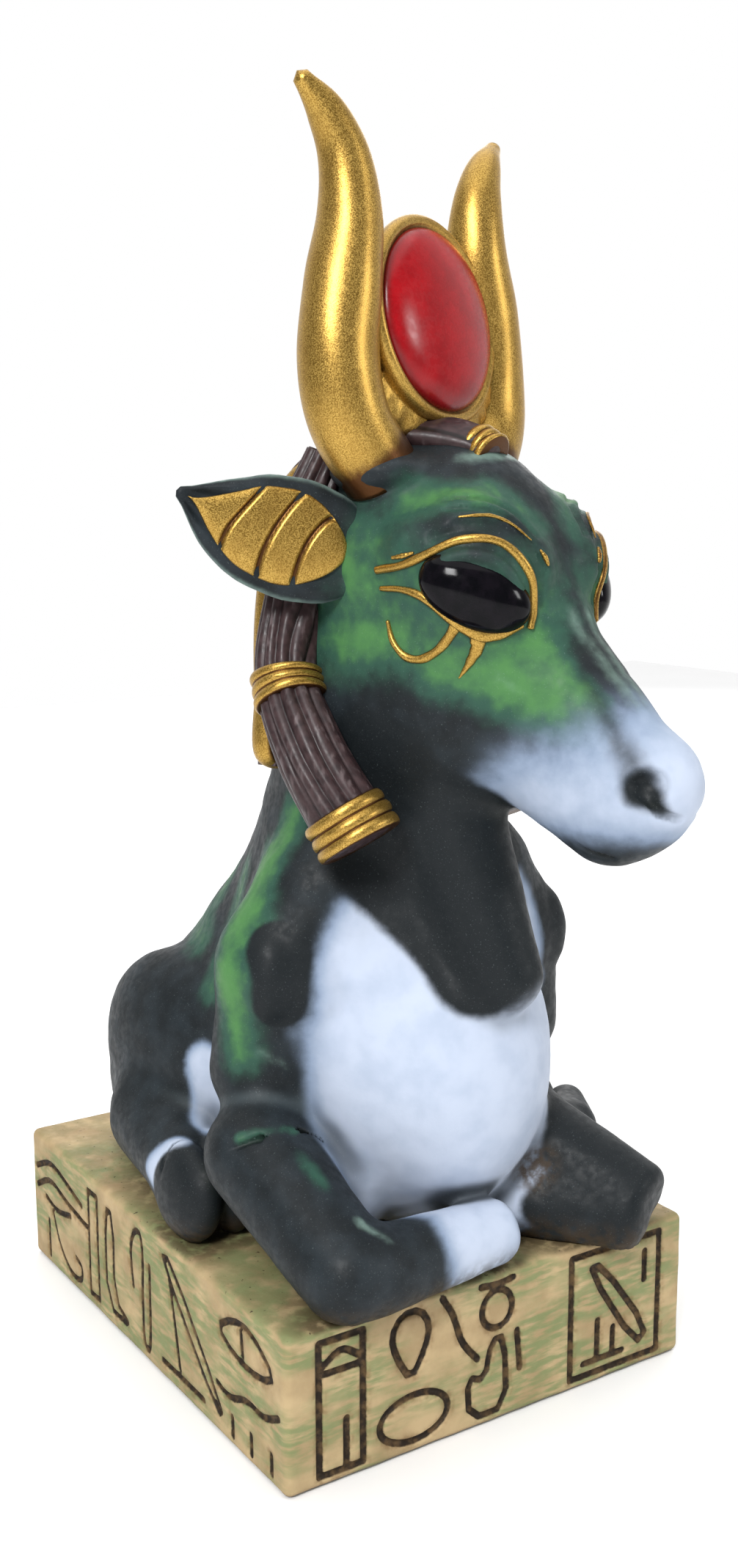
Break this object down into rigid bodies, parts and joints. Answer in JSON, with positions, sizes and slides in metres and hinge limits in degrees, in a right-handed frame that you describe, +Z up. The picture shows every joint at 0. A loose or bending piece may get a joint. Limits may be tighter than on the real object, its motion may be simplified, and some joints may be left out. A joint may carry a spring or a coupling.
{
  "type": "hathor cow figurine",
  "caption": "Recumbent cow figurine on a rectangular incised plinth, with tall horns round an upright sun disc and a plaited wig.",
  "frame": {"origin": "middle of the plinth's underside", "axes": "+Z up; the cow's body faces along -Y; the cow's right side is -X, and its head is turned a little to +X"},
  "size_m": [0.0744, 0.1146, 0.1928],
  "materials": {
    "painted_resin": "cast polyresin, hand painted: dark green and charcoal body, pale chest and muzzle, gold horns, red disc, satin",
    "sand_resin": "cast polyresin painted as sandstone with a green wash, dark paint in the strokes, matte"
  },
  "bodies": {
    "root": {"cow": "painted_resin", "plinth": "sand_resin"}
  },
  "joints": []
}
